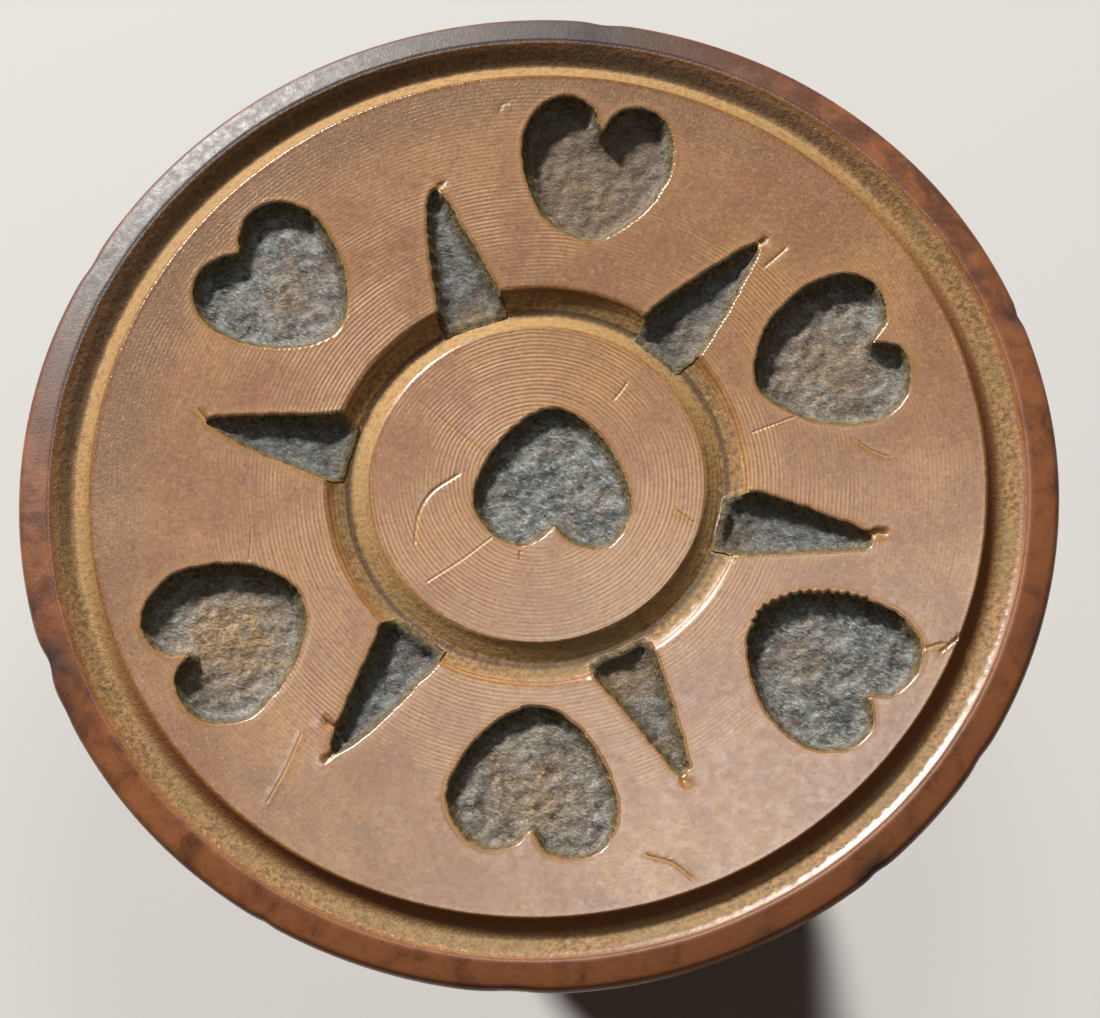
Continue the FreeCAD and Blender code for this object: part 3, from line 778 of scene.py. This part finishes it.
# --- materials --------------------------------------------------------------------------
class Nodes:
    """Short ways to add shader nodes to one material."""

    def __init__(self, name):
        self.material = bpy.data.materials.new(name)
        self.material.use_nodes = True
        self.tree = self.material.node_tree
        self.shader = self.tree.nodes["Principled BSDF"]

    def put(self, socket, value):
        if isinstance(value, bpy.types.NodeSocket):
            self.tree.links.new(value, socket)
        elif value is not None:
            socket.default_value = value

    def add(self, kind, *values, out=0, **settings):
        node = self.tree.nodes.new(f"ShaderNode{kind}")
        for key, value in settings.items():
            setattr(node, key, value)
        for socket, value in zip(node.inputs, values):
            self.put(socket, value)
        return node.outputs[out]

    def math(self, operation, a, b=None, c=None, clamp=False):
        return self.add("Math", a, b, c, operation=operation, use_clamp=clamp)

    def times(self, a, b):
        return self.math("MULTIPLY", a, b)

    def scaled(self, value, share, added):
        """value times share, plus added."""
        return self.math("MULTIPLY_ADD", value, share, added)

    def most(self, *values):
        made = values[0]
        for value in values[1:]:
            made = self.math("MAXIMUM", made, value)
        return made

    def ramp(self, value, low, high, bottom=0.0, top=1.0):
        return self.add("MapRange", value, low, high, bottom, top,
                        interpolation_type="SMOOTHSTEP")

    def noise(self, vector, scale, detail=3.0, roughness=0.55, distortion=0.0):
        node = self.tree.nodes.new("ShaderNodeTexNoise")
        self.put(node.inputs["Vector"], vector)
        for label, value in (("Scale", scale), ("Detail", detail),
                             ("Roughness", roughness), ("Distortion", distortion)):
            node.inputs[label].default_value = value
        return node.outputs["Fac"]

    def colours(self, share, first, second):
        node = self.tree.nodes.new("ShaderNodeMix")
        node.data_type = "RGBA"
        self.put(node.inputs[0], share)
        self.put(node.inputs[6], (*first, 1) if isinstance(first, tuple) else first)
        self.put(node.inputs[7], (*second, 1) if isinstance(second, tuple) else second)
        return node.outputs[2]

    def tint(self, under, colour, value, low, high, bottom=0.0, top=1.0):
        """Lays a colour over another by a ramp of a value."""
        return self.colours(self.ramp(value, low, high, bottom, top), under, colour)

    def stretched(self, vector, x, y, z):
        return self.add("Mapping", vector, (0, 0, 0), (0, 0, 0), (x, y, z))

    def millimetres(self):
        place = self.add("TexCoord", out=3)
        return self.add("VectorMath", place, (1 / MM, 1 / MM, 1 / MM), operation="MULTIPLY")

    def shade(self, label, value):
        self.put(self.shader.inputs[label], value)

    def bump(self, height):
        """Relief given in millimetres."""
        node = self.tree.nodes.new("ShaderNodeBump")
        node.inputs["Distance"].default_value = MM
        self.put(node.inputs["Height"], height)
        self.shade("Normal", node.outputs[0])


def srgb(red, green, blue):
    """Linear colour of 8-bit display values."""
    return tuple(((c / 255 + 0.055) / 1.055) ** 2.4 if c > 10 else c / 3294
                 for c in (red, green, blue))


RIDGE_PITCH = 0.45
LIT_SIDE = (math.cos(math.radians(DEEP_SIDE)), math.sin(math.radians(DEEP_SIDE)), 0)
FIELD_DARK, FIELD_LIGHT = srgb(144, 96, 50), srgb(172, 124, 74)
# pore brown, which also paints the shade in the feed marks' troughs, and the field's dirt with
# painted shade
FIELD_RED, FIELD_PORE_AND_TROUGH_SHADE, FIELD_DIRT_AND_SHADE = srgb(142, 84, 56), srgb(78, 44, 24), srgb(118, 82, 48)
# pale flecks, and the painted highlight on the feed marks' crests
PALE_FLECK_AND_RIDGE_HIGHLIGHT = srgb(214, 168, 114)
EDGE_TAN, EDGE_PALE = srgb(162, 118, 68), srgb(206, 168, 118)
TAN_DARK, TAN_LIGHT = srgb(100, 68, 32), srgb(166, 124, 72)
TAN_WALL = srgb(176, 138, 86)
# olive, the grooves' painted shade, and a painted shade tint for the field's wall
TAN_OLIVE, GROOVE_SHADE, FIELD_WALL_SHADE = srgb(132, 108, 60), srgb(54, 32, 10), srgb(112, 58, 26)
RIM_DARK, RIM_LIGHT = srgb(92, 54, 33), srgb(143, 87, 52)
# the pore colour also paints the shade down the rim's side
RIM_PALE, RIM_PORE_AND_UNDER_SHADE, BRUISE = srgb(170, 124, 88), srgb(46, 26, 18), srgb(44, 42, 46)
# grey of the painted sheen on the rim
RIM_SHEEN_GREY = srgb(62, 58, 54)
# the torn floors, greyed by age and stained by butter
STONE_DARK, STONE_LIGHT = srgb(60, 61, 60), srgb(142, 143, 136)
# browner, darker tone for the deepest floors
DEEPEST_BROWN = srgb(92, 68, 42)
# warm brown, and the pale of the painted glints
STONE_WARM, STONE_PALE_GLINT = srgb(112, 78, 48), srgb(176, 170, 156)
GOLD_DARK, GOLD_LIGHT = srgb(112, 80, 42), srgb(204, 164, 106)
WALL_DARK, WALL_LIGHT = srgb(50, 38, 18), srgb(138, 118, 74)
HANDLE_DARK, HANDLE_LIGHT = srgb(84, 47, 31), srgb(128, 80, 55)
HANDLE_GRAIN = srgb(58, 32, 22)
FLOOR_GREY = srgb(205, 203, 200)


def disc_masks(n, mm):
    """Shares of the surface that the colours and the relief are laid on by."""
    split = n.tree.nodes.new("ShaderNodeSeparateXYZ")
    n.put(split.inputs[0], mm)
    x, y, z = split.outputs
    flat = n.add("CombineXYZ", x, y, 0.0)
    radius = n.add("VectorMath", flat, out=1, operation="LENGTH")
    m = {label: n.add("Attribute", out=2, attribute_name=label)
         for label in ("pocket_mm", "ray", "golden", "mark", "nick")}
    pocket = m["pocket_mm"]
    m["radius"], m["y"], m["z"] = radius, y, z
    along = n.add("VectorMath", flat, LIT_SIDE, out=1, operation="DOT_PRODUCT")
    m["lit"] = n.math("DIVIDE", along, n.most(radius, 1.0))

    # the lathe's feed marks: fine true rings, strong on the centre and the inner field; the field's
    # colour also paints highlight and shade on them
    wavering = n.scaled(n.noise(mm, 0.1, 2.0), 0.8, radius)
    wave = n.math("SINE", n.times(wavering, 2 * math.pi / RIDGE_PITCH))
    uneven = n.noise(n.add("CombineXYZ", wavering, 0.0, 0.0), 1.9, 2.0)
    uneven = n.scaled(uneven, 6.0, -3.0)
    patch = n.ramp(n.noise(mm, 0.07, 4.0, 0.7), 0.38, 0.6, 0.3, 1.1)
    outside = n.ramp(radius, 32.5, 36.0, 1.0, 0.5)
    on_field = n.ramp(radius, 44.0, 46.4, 1.0, 0.1)
    marks = n.times(patch, n.times(outside, on_field))
    m["ridge"] = n.times(n.scaled(uneven, 0.36, wave), marks)

    ragged = n.scaled(n.noise(mm, 1.5, 3.0), 0.9, pocket)
    m["carved"] = n.ramp(pocket, -0.1, 0.14)
    m["floor"] = n.ramp(ragged, 0.6, 1.8)
    lip = n.times(n.ramp(pocket, -0.5, -0.3), n.ramp(pocket, 0.05, 0.3, 1.0, 0.0))
    off_edge = [n.math("ABSOLUTE", n.math("SUBTRACT", radius, r))
                for r in (CENTRE - 0.15, FIELD - 0.15, CREST - 0.05)]
    off_edge = n.math("MINIMUM", off_edge[0], n.math("MINIMUM", off_edge[1], off_edge[2]))
    m["edge"] = n.most(lip, n.ramp(off_edge, 0.3, 0.5, 1.0, 0.0))
    above = n.ramp(z, FACE_Z - 3.1, FACE_Z - 2.7)
    rag = n.scaled(n.noise(mm, 0.9, 4.0), 1.2, n.math("SUBTRACT", radius, 0.6))
    inner = n.times(n.ramp(radius, CENTRE - 0.1, CENTRE + 0.2),
                    n.ramp(rag, INNER_EDGE - 1.1, INNER_EDGE, 1.0, 0.0))
    outer = n.times(n.ramp(radius, FIELD - 0.05, FIELD + 0.25),
                    n.ramp(rag, OUTER_ROOT + 1.4, CREST - 0.3, 1.0, 0.0))
    m["groove"] = n.times(n.most(inner, outer), above)
    on_face = n.times(above, n.ramp(radius, CREST - 0.3, CREST + 0.1, 1.0, 0.0))
    m["rim"] = n.math("SUBTRACT", 1.0, on_face)
    m["fleck"] = n.noise(mm, 2.4, 5.0, 0.8)
    m["pore"] = n.noise(n.stretched(mm, 1.0, 0.55, 1.0), 4.2, 2.0, 0.6)
    m["crumb"] = n.noise(mm, 1.7, 5.0, 0.75)
    return m


def field_colour(n, mm, m):
    """Yellow-brown and red-brown clouds, dark pores, painted highlight and shade on the ridges, dirt
    by the edge with painted shade.
    """
    blotch = n.noise(mm, 0.07, 4.0, 0.6)
    cloud = n.noise(n.stretched(mm, 1.0, 0.6, 1.0), 0.16, 4.0, 0.6, 0.4)
    field = n.colours(n.ramp(blotch, 0.36, 0.64), FIELD_DARK, FIELD_LIGHT)
    field = n.colours(n.ramp(cloud, 0.48, 0.72, 0.0, 0.6), field, FIELD_RED)
    # a little dirt near the rim all round, with painted shade near the rim on the key's side and
    # towards +Y, where a dished face would turn from the key
    dirt_and_shade = n.times(n.ramp(m["radius"], 37.0, 44.0), n.ramp(m["lit"], -0.1, 0.8, 0.1, 0.8))
    dirt_and_shade = n.most(dirt_and_shade, n.ramp(m["y"], 2.0, 30.0, 0.0, 0.3))
    field = n.colours(dirt_and_shade, field, FIELD_DIRT_AND_SHADE)
    field = n.tint(field, FIELD_PORE_AND_TROUGH_SHADE, m["fleck"], 0.34, 0.53, 0.55, 0.0)
    field = n.tint(field, PALE_FLECK_AND_RIDGE_HIGHLIGHT, m["fleck"], 0.54, 0.70, 0.0, 0.45)
    # painted highlight on the feed marks' crests and painted shade in their troughs
    field = n.tint(field, PALE_FLECK_AND_RIDGE_HIGHLIGHT, m["ridge"], 0.2, 1.4, 0.0, 0.4)
    field = n.tint(field, FIELD_PORE_AND_TROUGH_SHADE, m["ridge"], -1.3, -0.2, 0.46, 0.0)
    field = n.tint(field, FIELD_PORE_AND_TROUGH_SHADE, m["pore"], 0.62, 0.76, 0.0, 0.35)
    near_carving = n.ramp(m["pocket_mm"], -1.6, -0.3, 0.0, 0.35)
    field = n.colours(near_carving, field, EDGE_TAN)
    field = n.colours(n.times(m["nick"], 0.35), field, EDGE_PALE)
    return n.colours(n.times(m["mark"], 0.7), field, BRUISE)


def groove_colour(n, mm, m, beside):
    """Tan grooves: olive, pale on the field's and centre's walls; painted shade at the roots, on the
    bank and on the field's wall.
    """
    radius = m["radius"]
    tan = n.colours(n.ramp(m["crumb"], 0.36, 0.62), TAN_DARK, TAN_LIGHT)
    olive = n.ramp(n.noise(mm, 0.12, 3.0), 0.42, 0.6, 0.0, 0.5)
    tan = n.colours(olive, tan, TAN_OLIVE)
    walls = n.times(n.ramp(radius, FIELD - 0.1, FIELD + 0.1),
                    n.ramp(radius, OUTER_ROOT - 0.3, OUTER_ROOT + 0.1, 1.0, 0.0))
    walls = n.most(n.ramp(radius, INNER_ROOT - 0.4, INNER_ROOT + 0.1, 1.0, 0.0), walls)
    walls = n.times(walls, n.ramp(m["crumb"], 0.3, 0.6, 0.4, 1.0))
    tan = n.colours(n.times(walls, 0.8), tan, TAN_WALL)
    # painted shade along both roots, on the outer root only on the key's side
    root_shades = [n.ramp(n.math("ABSOLUTE", n.math("SUBTRACT", radius, r)), 0.1, 0.5, 0.7, 0.0)
             for r in (INNER_ROOT + 0.45, OUTER_ROOT + 0.3)]
    root_shades[1] = n.times(root_shades[1], n.ramp(m["lit"], 0.2, 0.8))
    # painted shade on the outer bank on the key's side, where the crest shades it
    bank_shade = n.times(n.ramp(m["lit"], 0.0, 0.7, 0.0, 0.7),
                    n.ramp(radius, OUTER_ROOT, OUTER_ROOT + 0.6))
    tan = n.colours(n.most(bank_shade, *root_shades), tan, GROOVE_SHADE)
    colour = n.colours(m["groove"], beside, tan)
    # painted shade: a dark red-brown on the field's outer wall on the side away from the key, where
    # it falls in shade
    wall_shade_tint = n.times(n.ramp(radius, FIELD - 0.1, FIELD + 0.15),
                   n.ramp(radius, FIELD + 0.9, FIELD + 1.7, 1.0, 0.0))
    wall_shade_tint = n.times(wall_shade_tint, n.ramp(m["lit"], -0.3, 0.4, 0.85, 0.05))
    return n.colours(wall_shade_tint, colour, FIELD_WALL_SHADE)


def rim_colour(n, mm, m):
    """Dark, handled red-brown, with bruises and pale specks, painted light and shade by side, a
    painted grey sheen on the key's side and painted shade down the side.
    """
    worn = n.noise(mm, 0.24, 5.0, 0.65, 0.5)
    # painted light and shade over the worn patches: the rim lighter on the side away from the key and
    # darker on its side
    worn_and_painted_light = n.scaled(m["lit"], -0.14, worn)
    dark = n.colours(n.ramp(worn_and_painted_light, 0.34, 0.66), RIM_DARK, RIM_LIGHT)
    # painted sheen: the rim's top greyed on the key's side
    painted_sheen = n.ramp(n.scaled(worn, 0.5, m["lit"]), 0.7, 1.15, 0.0, 0.8)
    painted_sheen = n.times(painted_sheen, n.ramp(m["radius"], RIM - 0.8, RIM - 0.3, 1.0, 0.0))
    dark = n.colours(painted_sheen, dark, RIM_SHEEN_GREY)
    dark = n.tint(dark, RIM_PALE, m["fleck"], 0.55, 0.78, 0.0, 0.35)
    dark = n.tint(dark, RIM_PORE_AND_UNDER_SHADE, m["pore"], 0.6, 0.74, 0.0, 0.5)
    dark = n.colours(n.times(m["mark"], 0.85), dark, BRUISE)
    # painted shade: darker down the rim's side towards the underside
    under = n.ramp(m["z"], FACE_Z - 5.0, FACE_Z - 1.6, 0.4, 0.0)
    return n.colours(under, dark, RIM_PORE_AND_UNDER_SHADE)


def pocket_colour(n, mm, m, torn, hair):
    """Dark brown walls round slate-grey torn floors with golden stains, painted glints, and browner
    where deepest.
    """
    patch = n.scaled(n.noise(mm, 0.4, 3.0, 0.6), 0.6, n.times(torn, 0.5))
    patch = n.scaled(hair, 0.5, patch)
    stone = n.colours(n.ramp(patch, 0.64, 0.96), STONE_DARK, STONE_LIGHT)
    stone = n.tint(stone, STONE_DARK, m["fleck"], 0.36, 0.5, 0.55, 0.0)
    # painted glints: pale streaks along the torn floors' grain
    stone = n.tint(stone, STONE_PALE_GLINT, hair, 0.58, 0.7, 0.0, 0.7)
    warm = n.ramp(n.noise(mm, 0.42, 4.0, 0.7), 0.48, 0.7, 0.0, 0.5)
    stone = n.colours(warm, stone, STONE_WARM)
    stain = n.ramp(n.noise(mm, 0.75, 5.0, 0.75), 0.34, 0.6, 0.25, 1.2)
    stain = n.math("MINIMUM", n.times(m["golden"], stain), 0.85)
    gold = n.colours(n.ramp(m["crumb"], 0.35, 0.65), GOLD_DARK, GOLD_LIGHT)
    stone = n.colours(stain, stone, gold)
    stone = n.colours(n.times(m["ray"], 0.45), stone, STONE_DARK)
    # floors browner and darker where they lie deepest
    deep = n.ramp(m["z"], FACE_Z - 2.3, FACE_Z - 1.9, 0.65, 0.0)
    stone = n.colours(deep, stone, DEEPEST_BROWN)
    wall = n.colours(n.ramp(m["crumb"], 0.35, 0.65), WALL_DARK, WALL_LIGHT)
    return n.colours(m["floor"], wall, stone)


def disc_material():
    n = Nodes("Print_Wood")
    mm = n.millimetres()
    m = disc_masks(n, mm)
    turned = n.add("Mapping", mm, (0, 0, 0), (0, 0, -0.64), (0.6, 1.0, 1.0))
    torn = n.noise(turned, 1.3, 6.0, 0.72)
    hair = n.noise(n.stretched(turned, 1.0, 0.45, 1.0), 4.6, 2.0, 0.65)
    colour = groove_colour(n, mm, m, field_colour(n, mm, m))
    colour = n.colours(m["rim"], colour, rim_colour(n, mm, m))
    colour = n.colours(m["carved"], colour, pocket_colour(n, mm, m, torn, hair))
    n.shade("Base Color", colour)

    smooth_side = n.ramp(m["y"], -34.0, 24.0, 0.0, 0.14)
    rough = n.ramp(n.noise(mm, 0.9, 4.0, 0.7), 0.3, 0.7, 0.22, 0.36)
    rough = n.math("ADD", rough, smooth_side)
    for label, rougher in (("groove", 0.3), ("carved", 0.05), ("rim", 0.05)):
        rough = n.scaled(m[label], rougher, rough)
    shine = n.colours(m["edge"], rough, (0.24, 0.24, 0.24))
    n.shade("Roughness", shine)

    # a handled polish on the near half of the face
    bare = n.most(m["rim"], m["groove"], m["nick"], n.ramp(m["pocket_mm"], -0.4, -0.1))
    polish = n.times(n.ramp(m["y"], -15.0, 25.0, 0.9, 0.0),
                     n.math("SUBTRACT", 1.0, bare, clamp=True))
    n.shade("Coat Weight", polish)
    n.shade("Coat Roughness", 0.3)

    # relief in millimetres
    grain = n.noise(mm, 3.2, 2.0, 0.6)
    grainy = n.ramp(m["radius"], 36.0, 45.0, 0.012, 0.055)
    coarse = n.ramp(m["lit"], -0.7, 0.5, 0.08, 1.0)
    grainy = n.times(n.times(grainy, coarse), n.scaled(m["rim"], -0.6, 1.0))
    ridged = n.times(m["ridge"], n.ramp(m["y"], -40.0, 10.0, 0.003, 0.012))
    relief = n.scaled(grain, grainy, ridged)
    relief = n.scaled(n.times(m["pore"], coarse), -0.012, relief)
    relief = n.times(relief, n.math("SUBTRACT", 1.0, m["carved"]))
    steps = n.times(torn, 9.0)
    rest = n.math("FRACT", steps)
    steps = n.math("ADD", n.math("SUBTRACT", steps, rest), n.math("POWER", rest, 4.0))
    flakes = n.scaled(steps, 0.03, n.times(torn, 0.12))
    flakes = n.scaled(hair, 0.1, flakes)
    relief = n.scaled(flakes, m["carved"], relief)
    relief = n.scaled(n.times(m["crumb"], 0.16), m["groove"], relief)
    n.bump(relief)
    return n.material


def handle_material():
    n = Nodes("Handle_Wood")
    mm = n.millimetres()
    grain = n.noise(n.stretched(mm, 1.0, 1.0, 0.05), 0.9, 5.0, 0.65)
    blotch = n.noise(mm, 0.09, 4.0, 0.6)
    colour = n.colours(n.ramp(blotch, 0.3, 0.7), HANDLE_DARK, HANDLE_LIGHT)
    colour = n.tint(colour, HANDLE_GRAIN, grain, 0.4, 0.7, 0.0, 0.6)
    n.shade("Base Color", colour)
    n.shade("Roughness", n.ramp(n.noise(mm, 0.5, 3.0), 0.3, 0.7, 0.3, 0.48))
    n.bump(n.times(grain, 0.06))
    return n.material


def floor_material():
    n = Nodes("Studio_Floor")
    n.shade("Base Color", (*FLOOR_GREY, 1))
    n.shade("Roughness", 0.9)
    return n.material


# --- studio -----------------------------------------------------------------------------
VIEW_FROM = (0.2974, -3.0490, 8.2455)  # camera from the face's middle, in rim radii
VIEW_RIGHT = (0.99952, 0.01058, -0.02912)
VIEW_UP = (0.0, 0.93993, 0.34136)
LENS, SENSOR = 150.5, 36.0
FLOOR_HALF = 1.5  # half the studio floor's width, in metres
SKY, SKY_STRENGTH = (1.0, 0.96, 0.92, 1), 0.03


def make_stage():
    half = FLOOR_HALF
    mesh = bpy.data.meshes.new("Studio_Floor")
    corners = [(-half, -half, 0), (half, -half, 0), (half, half, 0), (-half, half, 0)]
    mesh.from_pydata(corners, [], [(0, 1, 2, 3)])
    floor = bpy.data.objects.new("Studio_Floor", mesh)
    floor.data.materials.append(floor_material())
    bpy.context.scene.collection.objects.link(floor)


def aimed_light(name, azimuth, elevation, distance, size, power, colour):
    """A square area light, in metres and watts, that looks at the face's middle."""
    a, e = math.radians(azimuth), math.radians(elevation)
    away = Vector((math.cos(a) * math.cos(e), math.sin(a) * math.cos(e), math.sin(e)))
    data = bpy.data.lights.new(name, "AREA")
    data.size, data.energy, data.color = size, power, colour
    light = bpy.data.objects.new(name, data)
    light.location = Vector((0, 0, FACE_Z * MM)) + away * distance
    light.rotation_euler = away.to_track_quat("Z", "Y").to_euler()
    bpy.context.scene.collection.objects.link(light)


def make_lights():
    aimed_light("Key", 119, 31, 2.4, 0.28, 110.0, (1.0, 0.98, 0.95))
    aimed_light("Overhead", 74, 77, 0.9, 0.22, 1.3, (1.0, 1.0, 1.0))
    world = bpy.data.worlds.new("Studio_Light")
    world.use_nodes = True
    world.node_tree.nodes["Background"].inputs[0].default_value = SKY
    world.node_tree.nodes["Background"].inputs[1].default_value = SKY_STRENGTH
    bpy.context.scene.world = world


def make_camera():
    data = bpy.data.cameras.new("Camera")
    data.lens, data.sensor_width = LENS, SENSOR
    camera = bpy.data.objects.new("Camera", data)
    right, up = Vector(VIEW_RIGHT), Vector(VIEW_UP)
    turned = Matrix((right, up, right.cross(up))).transposed().to_4x4()
    middle = Vector((0, 0, FACE_Z * MM))
    radius = (DISC_HIGH[0] - DISC_LOW[0]) / 2 * MM
    camera.matrix_world = Matrix.Translation(middle + Vector(VIEW_FROM) * radius) @ turned
    bpy.context.scene.collection.objects.link(camera)
    bpy.context.scene.camera = camera


def main():
    disc = make_disc(make_pockets())
    disc.data.materials.append(disc_material())
    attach(disc, "print")
    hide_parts("print_disc")
    handle = make_handle()
    handle.data.materials.append(handle_material())
    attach(handle, "handle")
    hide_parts("turned_handle")
    make_stage()
    make_lights()
    make_camera()
    bpy.context.scene.view_settings.view_transform = "Standard"


main()
